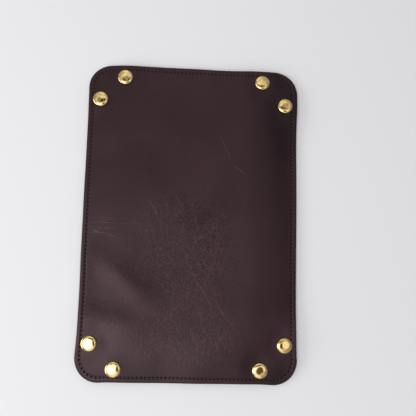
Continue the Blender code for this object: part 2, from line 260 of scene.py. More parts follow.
def relief(x, y):
    """Two heights: the broad lie of the sheet, and the seam's puff and groove. The broad one is the swells,
    stretched and turned bell curves, and the edge's sine waves, less the droops, which grow as a power of
    the way past the fold; all of that fades out round the snaps. The tips droop by a square. The soft
    maximum is the logarithm of a sum of exponentials."""
    past_x = np.clip((np.abs(x) - BASE[0]) / WALL_HEIGHT, 0, DROOP_LIMIT) ** DROOP_POWER
    past_y = np.clip((np.abs(y) - BASE[1]) / WALL_HEIGHT, 0, DROOP_LIMIT) ** DROOP_POWER
    side_droop = np.where(x > 0, RIGHT_DROOP, LEFT_DROOP) * past_x * fade(np.abs(y), *SIDE_FADE)
    end_droop = np.where(y > 0, BACK_DROOP, FRONT_DROOP) * past_y * fade(np.abs(x), *END_FADE)
    swell = np.zeros_like(x)
    for middle_x, middle_y, half_long, half_wide, turn, height in SWELLS:
        c, s = np.cos(np.radians(turn)), np.sin(np.radians(turn))
        off_x, off_y = x / MM - middle_x, y / MM - middle_y
        far = ((off_x * c + off_y * s) / half_long) ** 2 + ((off_y * c - off_x * s) / half_wide) ** 2
        swell = swell + height * MM * np.exp(-far / 2)
    from_side, from_end = (HALF[0] - np.abs(x)) / WAVE_DEPTH, (HALF[1] - np.abs(y)) / WAVE_DEPTH
    close = 1 - (1 - np.exp(-from_side ** 2)) * (1 - np.exp(-from_end ** 2))
    wave = EDGE_WAVE * close * (np.sin(x / WAVE_LENGTHS[0] + WAVE_SHIFT) + np.sin(y / WAVE_LENGTHS[1]))
    calm = np.ones_like(x)
    for snap_x, snap_y in SNAPS:
        near = np.hypot(x - snap_x, y - snap_y) / SNAP_REACH
        calm = calm * (1 - np.exp(-near ** 3))
    out = ((np.abs(x) - BASE[0]) + (np.abs(y) - BASE[1])) / np.sqrt(2)
    tip = np.clip((out - TIP_START) / (TIP_END - TIP_START), 0, TIP_LIMIT)
    broad = (swell + wave - side_droop - end_droop) * calm - TIP_DROOP * tip ** 2
    inset = inset_of(x, y)
    puff = EDGE_PUFF * np.sin(np.pi * np.clip(inset / STITCH_INSET, 0, 1))
    groove = puff - GROOVE * np.exp(-(((inset - STITCH_INSET) / GROOVE_WIDTH) ** 2) / 2)
    return LOWEST + LANDING * np.logaddexp(0.0, (broad - LOWEST) / LANDING), groove


SLOPE_STEP = 0.3 * MM


def upward(x, y, groove_share):
    """The surface's normal from its slopes: the change of height over a short step each way."""
    def height(px, py):
        broad, groove = relief(px, py)
        return broad + groove_share * groove
    slope_x = (height(x + SLOPE_STEP, y) - height(x - SLOPE_STEP, y)) / (2 * SLOPE_STEP)
    slope_y = (height(x, y + SLOPE_STEP) - height(x, y - SLOPE_STEP)) / (2 * SLOPE_STEP)
    normal = np.stack([-slope_x, -slope_y, np.ones_like(x)], -1)
    return normal / np.linalg.norm(normal, axis=-1, keepdims=True)


def height_span(x, y):
    """Least and greatest broad height over some points, in mm, to see how much the sheet rises and sinks."""
    broad, _ = relief(x, y)
    return round(float(broad.min()) / MM, 2), round(float(broad.max()) / MM, 2)


# %% [markdown]
# ## One grid for the whole sheet
#
# The sheet could be modelled panel by panel, but then the panels' edges would never quite agree. So there
# is one grid of points a millimetre apart, laid so that the fold lines run through its points. In each
# corner a square block of the grid is squeezed into a quarter disc: every point moves towards the corner's
# centre until the block's outer rim lies on the circle. The corner's diagonal stays a straight line.

# %% Grid of the sheet
GRID_STEP = 1.0 * MM
count_x, count_y = (np.round(2 * HALF / GRID_STEP).astype(int) + 1)
line_x = np.linspace(-HALF[0], HALF[0], count_x)
line_y = np.linspace(-HALF[1], HALF[1], count_y)
plan_x, plan_y = (part.ravel() for part in np.meshgrid(line_x, line_y))
over_x = np.maximum(np.abs(plan_x) - CORE[0], 0.0)
over_y = np.maximum(np.abs(plan_y) - CORE[1], 0.0)
squeeze = np.maximum(over_x, over_y) / np.maximum(np.hypot(over_x, over_y), GRID_STEP / 100)
squeeze = np.where((over_x > 0) & (over_y > 0), squeeze, 1.0)
flat_x = np.sign(plan_x) * (np.minimum(np.abs(plan_x), CORE[0]) + over_x * squeeze)
flat_y = np.sign(plan_y) * (np.minimum(np.abs(plan_y), CORE[1]) + over_y * squeeze)
node_inset = np.maximum(inset_of(flat_x, flat_y), 0.0)
node_along = along_of(flat_x, flat_y)
on_rim = node_inset < GRID_STEP / 1000
node_out = outline_point(node_along, np.zeros_like(node_along))[1]
node_stray = node_out * stray(node_along, node_inset)[:, None]

cells = (np.arange(count_y - 1)[:, None] * count_x + np.arange(count_x - 1)[None, :]).ravel()
low_left, low_right, high_left, high_right = cells, cells + 1, cells + count_x, cells + count_x + 1
middle_x = (plan_x[low_left] + plan_x[low_right]) / 2
middle_y = (plan_y[low_left] + plan_y[high_left]) / 2
rising = middle_x * middle_y > 0
lower = np.stack([low_left, low_right, np.where(rising, high_right, high_left)], 1)
upper = np.stack([np.where(rising, low_left, low_right), high_right, high_left], 1)
triangles = np.concatenate([lower, upper])
print("grid", count_x, "by", count_y, "points,", len(triangles), "triangles")
print("the broad relief runs from and to, in mm:", height_span(flat_x, flat_y))

# %% [markdown]
# ## Cutting the grid along the folds
#
# The tray folds like this: four walls turn down along the base's edges, and at each corner two ears swing
# out and meet face to face, with a crease strip each side of the diagonal making the fold between them.
# Each triangle goes to one of these panels by where its middle lies, in coordinates measured from the
# base's corner: u across and v along. The fold zones stay with the wall or the crease strip, so that each
# panel takes in the zone of one fold only.

# %% Panels by name
FOLD_REACH = 2.0 * MM
EAR_START = 6.0 * MM
CREASE_BAND = 6.0 * MM
PLACES = {(-1, -1): "front_left", (1, -1): "front_right", (-1, 1): "back_left", (1, 1): "back_right"}


def panel_names(x, y):
    """The panel at each point of the plan: base, a wall, an ear or a crease strip."""
    u, v = np.abs(x) - BASE[0], np.abs(y) - BASE[1]
    end = v > u
    far, near = np.where(end, v, u), np.where(end, u, v)
    side_name = np.where(end, np.where(y > 0, "back", "front"), np.where(x > 0, "right", "left"))
    place = np.select([(x > 0) & (y > 0), (x <= 0) & (y > 0), (x <= 0) & (y <= 0)],
                      ["back_right", "back_left", "front_left"], "front_right")
    kind = np.where(end, "_end", "_side")
    corner = (far > FOLD_REACH) & (near > -EAR_START)
    base = (u < -FOLD_REACH) & (v < -FOLD_REACH)
    names = np.char.add("wall_", side_name)
    place_and_kind = np.char.add(place, kind)
    names = np.where(corner, np.char.add("ear_", place_and_kind), names)
    names = np.where(corner & (far - near < CREASE_BAND), np.char.add("crease_", place_and_kind), names)
    return np.where(base, "base", names)


triangle_panel = panel_names(plan_x[triangles].mean(1), plan_y[triangles].mean(1))
panels = sorted(set(triangle_panel))
print(len(panels), "panels, of which the base has", int((triangle_panel == "base").sum()), "triangles")

# %% [markdown]
# ## From a panel of the grid to a closed layer
#
# Each layer of each panel is a closed skin: the panel's triangles on top, the same triangles turned over
# below, and a wall round them. Where the wall is the sheet's own cut edge it gets extra rows of points,
# which round the edge over as a burnished edge is. Where the wall is a seam to the next panel it is plain,
# and hidden. Normals are written from the sheet's one surface, so that light runs across the seams.

# %% A closed layer of one panel
# The cut edge of a layer, from its face to its glued side, as (share of its thickness inwards, share of
# its thickness from the glued side, the normal's slope above the horizon in degrees)
EDGE_SHARES = np.array([
    (0.34, 1.0, 62.0), (0.10, 0.90, 38.0), (0.0, 0.62, 8.0), (0.0, 0.10, -4.0), (0.03, 0.0, -30.0),
])


def layer_points(nodes, row, face_z, glued_z, groove_share):
    """Points of one row: the flat place, moved in from the rim by the row's share, at the row's height.
    Gives the places as the sheet lies, and the same points on a flat sheet for the materials to read."""
    inward, rise, _ = EDGE_SHARES[row]
    thick = abs(face_z - glued_z)
    x = flat_x[nodes] - np.where(on_rim[nodes], node_out[nodes, 0] * inward * thick, 0.0)
    y = flat_y[nodes] - np.where(on_rim[nodes], node_out[nodes, 1] * inward * thick, 0.0)
    broad, groove = relief(x, y)
    flat_z = glued_z + (face_z - glued_z) * rise
    z = flat_z + broad + groove * groove_share * rise
    moved = np.stack([x + node_stray[nodes, 0], y + node_stray[nodes, 1], z], -1)
    return moved, np.stack([x, y, np.full_like(x, flat_z)], -1)


def layer_normals(nodes, row, facing, groove_share):
    """Inside the sheet the surface's normal; on the rim the outward direction, lifted by the row's slope."""
    slope = np.radians(EDGE_SHARES[row][2])
    lift = np.full((len(nodes), 1), facing * np.sin(slope))
    rim = np.concatenate([node_out[nodes] * np.cos(slope), lift], 1)
    side = facing if row == 0 else -facing
    flat = upward(flat_x[nodes], flat_y[nodes], groove_share if row == 0 else 0.0)
    return np.where(on_rim[nodes][:, None], rim, flat * side)


def closed_layer(name, chosen, face_z, glued_z, groove_share, material):
    """A mesh of the panel's triangles on the face, the same turned over on the glued side, and the walls."""
    facing = 1.0 if face_z > glued_z else -1.0
    nodes, local = np.unique(chosen, return_inverse=True)
    local = local.reshape(-1, 3)
    count = len(nodes)
    rim = np.flatnonzero(on_rim[nodes])
    rim_index = np.full(count, -1)
    rim_index[rim] = np.arange(len(rim))
    last = len(EDGE_SHARES) - 1
    points, rests, normals, ways = [], [], [], []
    for row in [0, last] + list(range(1, last)):
        members = nodes if row in (0, last) else nodes[rim]
        moved, rest = layer_points(members, row, face_z, glued_z, groove_share)
        points.append(moved)
        rests.append(rest)
        normals.append(layer_normals(members, row, facing, groove_share))
        ways.append(node_along[members])
    points, rests, normals, ways = (np.concatenate(part) for part in (points, rests, normals, ways))

    def row_of(vertex, row):
        """The number of a panel vertex in one row; the first and last rows hold every vertex."""
        if row == 0:
            return vertex
        if row == last:
            return vertex + count
        return 2 * count + (row - 1) * len(rim) + rim_index[vertex]

    face = local if facing > 0 else local[:, ::-1]
    glued = face[:, ::-1] + count
    edges = np.concatenate([face[:, [0, 1]], face[:, [1, 2]], face[:, [2, 0]]])
    key, twin = edges[:, 0] * count + edges[:, 1], edges[:, 1] * count + edges[:, 0]
    border = edges[~np.isin(key, twin)]
    both = on_rim[nodes[border[:, 0]]] & on_rim[nodes[border[:, 1]]]
    soft, hard = [face, glued], []
    outer_a, outer_b = border[both, 0], border[both, 1]
    for row in range(last):
        a_top, b_top = row_of(outer_a, row), row_of(outer_b, row)
        a_low, b_low = row_of(outer_a, row + 1), row_of(outer_b, row + 1)
        soft += [np.stack([b_top, a_top, a_low], 1), np.stack([b_top, a_low, b_low], 1)]
    for a, b in border[~both]:
        a_rows = range(last + 1) if on_rim[nodes[a]] else (0, last)
        b_rows = range(last + 1) if on_rim[nodes[b]] else (0, last)
        loop = [int(row_of(a, row)) for row in a_rows] + [int(row_of(b, row)) for row in b_rows][::-1]
        if len(b_rows) == 2:
            loop = loop[-1:] + loop[:-1]
        hard += [(loop[0], loop[i], loop[i + 1]) for i in range(1, len(loop) - 1)]
    faces = np.concatenate(soft + [np.array(hard).reshape(-1, 3)])
    corner_normals = normals[faces].reshape(-1, 3)
    cut = len(faces) - len(hard)
    p, q, r = (points[faces[cut:, i]] for i in range(3))
    flat = np.cross(q - p, r - p)
    flat /= np.maximum(np.linalg.norm(flat, axis=1, keepdims=True), 1e-12)
    corner_normals[cut * 3:] = np.repeat(flat, 3, axis=0)
    made = mesh_piece(name, points, faces, material, corner_normals)
    middle = ways[0]
    store(made, "flat", "FLOAT_VECTOR", rests)
    store(made, "inset", "FLOAT", inset_of(rests[:, 0], rests[:, 1]))
    store(made, "along", "FLOAT", ways - ROUND_TRIP * np.round((ways - middle) / ROUND_TRIP))
    return made


def mesh_piece(name, points, faces, material, corner_normals=None):
    """An object at the origin whose mesh holds the points and triangles, with corner normals if given."""
    mesh = bpy.data.meshes.new(name)
    mesh.vertices.add(len(points))
    mesh.vertices.foreach_set("co", np.ascontiguousarray(points, np.float32).ravel())
    sides = faces.shape[1]
    mesh.loops.add(faces.size)
    mesh.loops.foreach_set("vertex_index", np.ascontiguousarray(faces, np.int32).ravel())
    mesh.polygons.add(len(faces))
    mesh.polygons.foreach_set("loop_start", np.arange(0, faces.size, sides, dtype=np.int32))
    mesh.update(calc_edges=True)
    mesh.shade_smooth()
    if corner_normals is not None:
        mesh.normals_split_custom_set(corner_normals.tolist())
    mesh.materials.append(material)
    piece = bpy.data.objects.new(name, mesh)
    bpy.context.scene.collection.objects.link(piece)
    return piece


def store(piece, name, kind, values):
    """Keep one value or vector a point as an attribute that the materials read."""
    attribute = piece.data.attributes.new(name, kind, "POINT")
    field = "vector" if kind == "FLOAT_VECTOR" else "value"
    attribute.data.foreach_set(field, np.asarray(values, np.float32).ravel())


# %% [markdown]
# ## Small helpers for node materials
#
# A material is a graph of nodes, and so is the world. Writing it by hand takes two lines a node, so these
# helpers add a node, link its inputs and return its output. A plain number goes straight onto the shader's
# own socket, because constants that arrive through a link are lost when the model is exported.

# %% Node helpers
class Graph:
    """The node graph of a material or of the world, with short ways to add the kinds of node used here."""

    def __init__(self, owner):
        owner.use_nodes = True
        self.owner = owner
        self.nodes = owner.node_tree.nodes
        self.links = owner.node_tree.links
        self.shader = self.nodes.get("Principled BSDF")

    def add(self, kind, settings=None, **inputs):
        node = self.nodes.new(kind)
        for key, value in (settings or {}).items():
            setattr(node, key, value)
        for key, value in inputs.items():
            self.give(node.inputs[key.replace("_", " ")], value)
        return node

    def give(self, socket, value):
        if isinstance(value, bpy.types.NodeSocket):
            self.links.new(value, socket)
        else:
            socket.default_value = value

    def math(self, operation, first, second=0.0, third=0.0):
        node = self.add("ShaderNodeMath", {"operation": operation})
        for socket, value in zip(node.inputs, (first, second, third)):
            self.give(socket, value)
        return node.outputs[0]

    def times(self, first, second):
        return self.math("MULTIPLY", first, second)

    def most(self, first, second):
        return self.math("MAXIMUM", first, second)

    def noise(self, vector, scale, detail=2.0, roughness=0.5, distortion=0.0):
        node = self.add("ShaderNodeTexNoise", None, Vector=vector, Scale=scale, Detail=detail,
                        Roughness=roughness, Distortion=distortion)
        return node.outputs["Fac"]

    def ramp(self, value, low, high, out_low=0.0, out_high=1.0):
        """A smooth step of a value between two limits."""
        node = self.add("ShaderNodeMapRange", {"interpolation_type": "SMOOTHSTEP"}, Value=value,
                        From_Min=low, From_Max=high, To_Min=out_low, To_Max=out_high)
        return node.outputs["Result"]

    def within(self, value, full, none):
        """A mask that is 1 up to the first limit and 0 from the second on."""
        return self.ramp(value, full, none, 1.0, 0.0)

    def mix(self, share, first, second):
        node = self.add("ShaderNodeMix", {"data_type": "RGBA"})
        for number, value in ((0, share), (6, first), (7, second)):
            self.give(node.inputs[number], value)
        return node.outputs[2]

    def paint(self, under, where, strength, over):
        """Lay a colour over another where a mask is 1, at a given strength."""
        return self.mix(self.times(where, strength), under, over)

    def attribute(self, name, output):
        return self.add("ShaderNodeAttribute", {"attribute_name": name}).outputs[output]

    def bump(self, height, distance, strength=1.0, normal=None):
        node = self.add("ShaderNodeBump", None, Height=height, Distance=distance, Strength=strength)
        if normal is not None:
            self.links.new(normal, node.inputs["Normal"])
        return node.outputs["Normal"]

    def scaled(self, vector, scale, turn=0.0, place=(0, 0, 0)):
        node = self.add("ShaderNodeMapping", None, Vector=vector, Scale=scale, Rotation=(0, 0, turn),
                        Location=place)
        return node.outputs["Vector"]

    def finish(self, **inputs):
        """Give values or links to the shader's own sockets, and hand back the finished material."""
        for key, value in inputs.items():
            self.give(self.shader.inputs[key.replace("_", " ")], value)
        return self.owner


def colour(red, green, blue):
    """A colour written as 0 to 255 screen values, turned into the linear light that shaders take."""
    share = np.array([red, green, blue]) / 255
    linear = np.where(share <= 0.04045, share / 12.92, ((share + 0.055) / 1.055) ** 2.4)
    return (*linear.tolist(), 1.0)


# %% [markdown]
# ## Marks on the hide
#
# A mark on leather is a mask: a number that is 1 on the mark and 0 off it. Three kinds are enough here. A
# soft oval says where wear lies, thin wandering lines where a noise crosses its middle value look like
# crackle or streaks, and a single line stands for one scratch or wrinkle. All read the flat place that each
# point was cut from, so they stay put when the tray folds.

# %% Masks on the flat sheet
RIDGE_WIDTH = 0.05
LINE_WIDTH, LINE_WANDER, LINE_SOLID = 0.7 * MM, 2.2 * MM, 0.3


def oval_patch(g, flat, middle_x, middle_y, half_x, half_y, full):
    """A soft oval patch, 1 out to a share of its reach and 0 at its rim, in mm on the flat sheet."""
    reach = (1 / (half_x * MM), 1 / (half_y * MM), 0.0)
    shift = (-middle_x / half_x, -middle_y / half_y, 0.0)
    away = g.add("ShaderNodeVectorMath", {"operation": "LENGTH"})
    g.links.new(g.scaled(flat, reach, 0.0, shift), away.inputs[0])
    return g.within(away.outputs["Value"], full, 1.0)


def ridges(g, vector, detail, distortion):
    """Thin lines where a noise crosses its middle value: 1 on the line, 0 a little to either side."""
    noise = g.noise(vector, 1.0, detail, 0.5, distortion)
    off = g.math("ABSOLUTE", g.math("SUBTRACT", noise, 0.5))
    return g.within(off, 0.0, RIDGE_WIDTH)


def single_lines(g, flat, lines):
    """Straight lines that wander a little and fade at both ends, the strongest one at each point. The
    distance beside a line and the way on it are the point's two coordinates in the line's own turn."""
    wander = g.times(g.math("SUBTRACT", g.noise(flat, 90.0, 2.0), 0.5), LINE_WANDER)
    apart = g.add("ShaderNodeSeparateXYZ", None, Vector=flat)
    strongest = 0.0
    for middle_x, middle_y, turn, half_length, strength in lines:
        c, s = np.cos(np.radians(turn)), np.sin(np.radians(turn))
        off_x = g.math("SUBTRACT", apart.outputs["X"], middle_x * MM)
        off_y = g.math("SUBTRACT", apart.outputs["Y"], middle_y * MM)
        on = g.math("ABSOLUTE", g.math("ADD", g.times(off_x, c), g.times(off_y, s)))
        beside = g.math("SUBTRACT", g.times(off_y, c), g.times(off_x, s))
        line = g.within(g.math("ABSOLUTE", g.math("ADD", beside, wander)), 0.0, LINE_WIDTH)
        ends = g.within(on, half_length * LINE_SOLID * MM, half_length * MM)
        strongest = g.most(g.times(g.times(line, ends), strength), strongest)
    return strongest


def seam_masks(g, inset, along):
    """The pressed band beside the seam, and the needle holes: round spots at every pitch along it."""
    beside = g.math("ABSOLUTE", g.math("SUBTRACT", inset, STITCH_INSET))
    step = g.math("DIVIDE", along, STITCH_PITCH)
    off = g.times(g.math("SUBTRACT", step, g.math("ROUND", step)), STITCH_PITCH)
    far = g.math("SQRT", g.math("ADD", g.times(off, off), g.times(beside, beside)))
    return g.within(beside, 0.15 * MM, 1.3 * MM), g.within(far, 0.45 * MM, 0.95 * MM)


# %% [markdown]
# ## Oxblood leather
#
# The outer leather is a waxed pull-up hide: very dark red brown, with a broad soft shine and no coat of
# lacquer. Its colour drifts where wax has moved. Over that lie a few broad ovals of painted shade and painted
# light: darker at the back right and in the middle of the front, paler in the two front corners and behind
# the middle. The grain is cells about a millimetre wide, almost flat. The middle is crackled and the lower
# part streaked: thin paler lines with darker cells between them. Longer scratches cross the hide, and
# wrinkles lie across its left edge. The needle holes are painted near black as painted shade.

# %% Colours and places of the hide
HIDE_DARK, HIDE_LIGHT, HIDE_CLOUD = colour(33, 18, 20), colour(40, 24, 26), colour(46, 29, 30)
# The last colour on the next line is painted shade: the near black that fills each needle hole
EDGE_PAINT, PRESSED_DARK, HOLE_PAINTED_SHADE = colour(22, 11, 12), colour(24, 12, 13), colour(8, 4, 4)
CELL_DARK, CREASE_LIGHT, SCRATCH_LIGHT = colour(16, 8, 9), colour(90, 64, 66), colour(88, 62, 63)
HIDE_GLOSS, HIDE_GLINT = 0.36, (1.0, 0.72, 0.80, 1.0)
# Ovals of wear as (middle x, middle y, half x, half y, share that is full), in mm
CRACKLED, RUBBED = (-5.0, -28.0, 64.0, 80.0, 0.2), (-62.0, -62.0, 40.0, 58.0, 0.4)
STREAKED, WRINKLED = (-2.0, -92.0, 66.0, 40.0, 0.3), (-72.0, -9.0, 20.0, 13.0, 0.1)
# Painted shade and painted light as broad ovals: (middle x, middle y, half x, half y, strength, screen
# colour), in mm
PAINTED_LIGHT_AND_SHADE = [
    (82.0, 84.0, 44.0, 62.0, 0.75, (8, 3, 4)),
    (78.0, -96.0, 28.0, 30.0, 0.50, (62, 39, 46)),
    (-68.0, -96.0, 26.0, 26.0, 0.38, (62, 41, 44)),
    (2.0, 44.0, 40.0, 34.0, 0.32, (60, 41, 43)),
    (8.0, -98.0, 34.0, 44.0, 0.45, (10, 5, 6)),
]
PAINTED_PATCH_FULL = 0.15
# Seven scratches and then the five wrinkles at the left, as (middle x, middle y, turn, half length,
# strength), in mm and degrees
SCRATCHES = [
    (28.0, 63.0, -64.0, 14.0, 1.0), (40.0, 44.0, -38.0, 8.0, 1.0), (13.0, -60.0, -58.0, 17.0, 1.0),
    (26.0, -72.0, -60.0, 13.0, 1.0), (-10.0, 16.0, -62.0, 9.0, 1.0), (-31.0, 10.0, -60.0, 11.0, 1.0),
    (4.0, -92.0, -70.0, 9.0, 1.0), (-68.6, 0.9, 0.6, 21.3, 0.6), (-57.7, -3.4, -0.2, 30.5, 0.8),
    (-72.3, -7.0, -1.5, 16.2, 0.8), (-70.9, -12.1, -13.4, 14.2, 2.2), (-53.3, -14.3, -13.9, 13.7, 0.5),
]
CREASE_PALE, SCRATCH_PALE = 0.78, 0.30
CREASE_HEIGHT, SCRATCH_HEIGHT = 0.06 * MM, 0.08 * MM
GRAIN_HEIGHT, PORE_HEIGHT, HOLE_DEPTH = 0.02 * MM, 0.05 * MM, 0.35 * MM
print(len(PAINTED_LIGHT_AND_SHADE), "broad tones,", len(SCRATCHES), "scratches and wrinkles")


# %% Leather material
def hide_colour(g, flat, inset):
    """The drift of wax, streaky clouds, the broad ovals of painted shade and painted light, and the paint on
    the cut edge.
    """
    drift = g.noise(flat, 14.0, 3.0, 0.55)
    cloud = g.noise(g.scaled(flat, (60, 22, 60), 0.5), 1.0, 4.0, 0.6, 0.4)
    base = g.mix(g.ramp(drift, 0.3, 0.7), HIDE_DARK, HIDE_LIGHT)
    base = g.paint(base, g.ramp(cloud, 0.45, 0.75), 0.45, HIDE_CLOUD)
    # Painted shade and painted light: each oval darkens or lightens the hide's colour
    for middle_x, middle_y, half_x, half_y, strength, painted_colour in PAINTED_LIGHT_AND_SHADE:
        painted_patch = oval_patch(g, flat, middle_x, middle_y, half_x, half_y, PAINTED_PATCH_FULL)
        base = g.paint(base, painted_patch, strength, colour(*painted_colour))
    return g.paint(base, g.within(inset, 0.2 * MM, 1.1 * MM), 0.55, EDGE_PAINT)


def creased_places(g, flat):
    """Where the hide is worn into cells, and the crease lines: crackle, streaks and fine wrinkles, each
    inside its own oval."""
    worn = g.most(oval_patch(g, flat, *CRACKLED), g.times(oval_patch(g, flat, *RUBBED), 0.55))
    broken = g.ramp(g.noise(flat, 60.0, 2.0, 0.5, 0.6), 0.34, 0.66, 0.35, 1.0)
    crackle = g.times(ridges(g, g.scaled(flat, (560, 430, 100), 0.5), 2.0, 0.6), broken)
    streaks = ridges(g, g.scaled(flat, (680, 240, 100), 0.28), 2.0, 0.6)
    streaks = g.times(streaks, g.times(oval_patch(g, flat, *STREAKED), 0.75))
    wrinkles = ridges(g, g.scaled(flat, (55, 460, 100), 0.10), 1.0, 0.5)
    wrinkles = g.times(wrinkles, oval_patch(g, flat, *WRINKLED))
    cells = g.times(g.ramp(g.noise(flat, 560.0, 1.0), 0.40, 0.62), worn)
    return cells, g.most(g.times(crackle, worn), g.most(streaks, wrinkles))


def leather_material():
    """Colour, then roughness, then relief, each with the same masks."""
    g = Graph(bpy.data.materials.new("oxblood_leather"))
    flat = g.attribute("flat", "Vector")
    inset = g.attribute("inset", "Fac")
    pressed, hole = seam_masks(g, inset, g.attribute("along", "Fac"))
    cells, creased = creased_places(g, flat)
    scratched = single_lines(g, flat, SCRATCHES)
    base = g.paint(hide_colour(g, flat, inset), pressed, 0.3, PRESSED_DARK)
    # Painted shade: the needle holes are filled with near black
    base = g.paint(base, hole, 0.95, HOLE_PAINTED_SHADE)
    base = g.paint(base, cells, 0.9, CELL_DARK)
    base = g.paint(base, creased, CREASE_PALE, CREASE_LIGHT)
    base = g.paint(base, scratched, SCRATCH_PALE, SCRATCH_LIGHT)
    rough = g.ramp(g.noise(flat, 45.0, 3.0), 0.3, 0.7, 0.33, 0.41)
    rough = g.math("ADD", rough, g.times(hole, 0.5))
    cell = g.add("ShaderNodeTexVoronoi", {"feature": "DISTANCE_TO_EDGE"}, Vector=flat, Scale=950.0)
    pores = g.times(g.ramp(g.noise(flat, 30.0, 2.0), 0.35, 0.7), g.noise(flat, 700.0, 2.0))
    normal = g.bump(g.ramp(cell.outputs["Distance"], 0.0, 0.12), GRAIN_HEIGHT, 0.5)
    normal = g.bump(creased, CREASE_HEIGHT, 1.0, normal)
    normal = g.bump(scratched, SCRATCH_HEIGHT, 1.0, normal)
    normal = g.bump(pores, PORE_HEIGHT, 0.5, normal)
    normal = g.bump(g.math("SUBTRACT", 1.0, hole), HOLE_DEPTH, 1.0, normal)
    return g.finish(Base_Color=base, Roughness=rough, Normal=normal, Specular_IOR_Level=HIDE_GLOSS,
                    Specular_Tint=HIDE_GLINT)


LEATHER = leather_material()
print("leather nodes", len(LEATHER.node_tree.nodes))

# %% [markdown]
# ## Suede lining
#
# The lining isn't in the photograph. Trays of this kind are lined with suede or thin leather in a like
# colour, so this one is a dark brown suede: no gloss, a fine nap whose direction changes in patches, and a
# sheen at grazing angles. The sheen is a plain number on the shader's own socket.

# %% Lining material
def suede_material():
    g = Graph(bpy.data.materials.new("brushed_suede"))
    flat = g.attribute("flat", "Vector")
    nap = g.noise(g.scaled(flat, (260, 900, 400), 0.3), 1.0, 4.0, 0.7, 0.6)
    brushed = g.noise(flat, 22.0, 2.0, 0.6, 1.2)
    base = g.mix(g.ramp(brushed, 0.4, 0.62), colour(74, 50, 45), colour(92, 64, 57))
    base = g.paint(base, nap, 0.5, colour(58, 38, 34))
    painted = g.within(g.attribute("inset", "Fac"), 0.1 * MM, 0.8 * MM)
    base = g.paint(base, painted, 0.7, colour(24, 12, 13))
    fibres = g.noise(flat, 2600.0, 3.0, 0.7)
    normal = g.bump(fibres, 0.06 * MM, 0.6, g.bump(nap, 0.12 * MM, 0.6))
    return g.finish(Base_Color=base, Roughness=0.95, Normal=normal, Specular_IOR_Level=0.15,
                    Sheen_Weight=0.25, Sheen_Roughness=0.5)


SUEDE = suede_material()
print("suede nodes", len(SUEDE.node_tree.nodes))

# %% [markdown]
# ## The panels of both layers
#
# Each panel is made in both layers, leather and lining, and the solid model's pieces for it are hidden.
# The base's pieces are attached to the base. For every other panel the direction across its joint's axis,
# towards the child's middle, is worked out and the piece's transform is baked into its mesh; no bend is made.

# %% Make and name the panels
def bend_across(piece, joint_name):
    """Work out the direction across a joint's axis, towards the child's middle, and bake the piece's
    transform into its mesh; no blend over the joint is made.
    """
    joint = joints[joint_name]
    place, axis = np.array(joint["pos_m"]), np.array(joint["axis"])
    across = np.cross(axis, (0.0, 0.0, 1.0))
    across /= np.linalg.norm(across)
    node = next(name for name in sorted(frame["nodes"]) if name.startswith(joint["child"]))
    low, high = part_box(node)
    if np.dot(across, (np.array(low) + np.array(high)) / 2 - place) < 0:
        across = -across
    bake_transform(piece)


# On the lining's face the seam's groove points the other way, up into the sheet, and is shallower
LINING_GROOVE = -0.6


def follow(piece, body):
    """The base's pieces are attached to it; all others go to bend_across with the joint of their own body."""
    if body == "base":
        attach(piece, body)
    else:
        bend_across(piece, body + "_fold")


for body in panels:
    chosen = triangles[triangle_panel == body]
    leather = closed_layer(body + "_outer_leather", chosen, OUTER_Z, LEATHER_Z, 1.0, LEATHER)
    lining = closed_layer(body + "_suede_lining", chosen, LINING_Z, LINING_TOP_Z, LINING_GROOVE, SUEDE)
    for piece, slot in ((leather, "leather"), (lining, "suede")):
        follow(piece, str(body))
    if body.startswith("crease"):
        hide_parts(str(body))
    else:
        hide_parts(body + "_leather")
        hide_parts(body + "_lining")
print(2 * len(panels), "layer pieces")

# %% [markdown]
# ## Stitches
#
# The seam is a lockstitch in dark thread, sunk in its groove, so each stitch is a short bow of thread that
# comes out of one needle hole and goes into the next, and the same again on the lining. A bow is a tube
# whose middle line rises and falls as half a sine wave. One array holds all the stitches of a panel at once:
# way along times points round the thread. Outer stitches under a cap are hidden, so they are left out.

# %% Stitches as one mesh for each panel and side
THREAD_RADIUS, THREAD_TAPER = 0.24 * MM, 0.65
STITCH_RISE, STITCH_SINK = 0.22 * MM, 0.8
STITCH_LENGTH_SHARE = 0.66
BOW_STEPS, THREAD_SIDES = 6, 6
UNDER_CAP = 6.1 * MM


def thread_material():
    g = Graph(bpy.data.materials.new("waxed_thread"))
    place = g.add("ShaderNodeTexCoord").outputs["Object"]
    wave = {"wave_type": "BANDS", "bands_direction": "DIAGONAL"}
    twist = g.add("ShaderNodeTexWave", wave, Vector=place, Scale=700.0, Distortion=1.5, Detail=1.0)
    strands = twist.outputs["Fac"]
    return g.finish(Base_Color=g.mix(strands, colour(38, 25, 27), colour(56, 38, 40)), Roughness=0.6,
                    Normal=g.bump(strands, 0.06 * MM, 0.5))


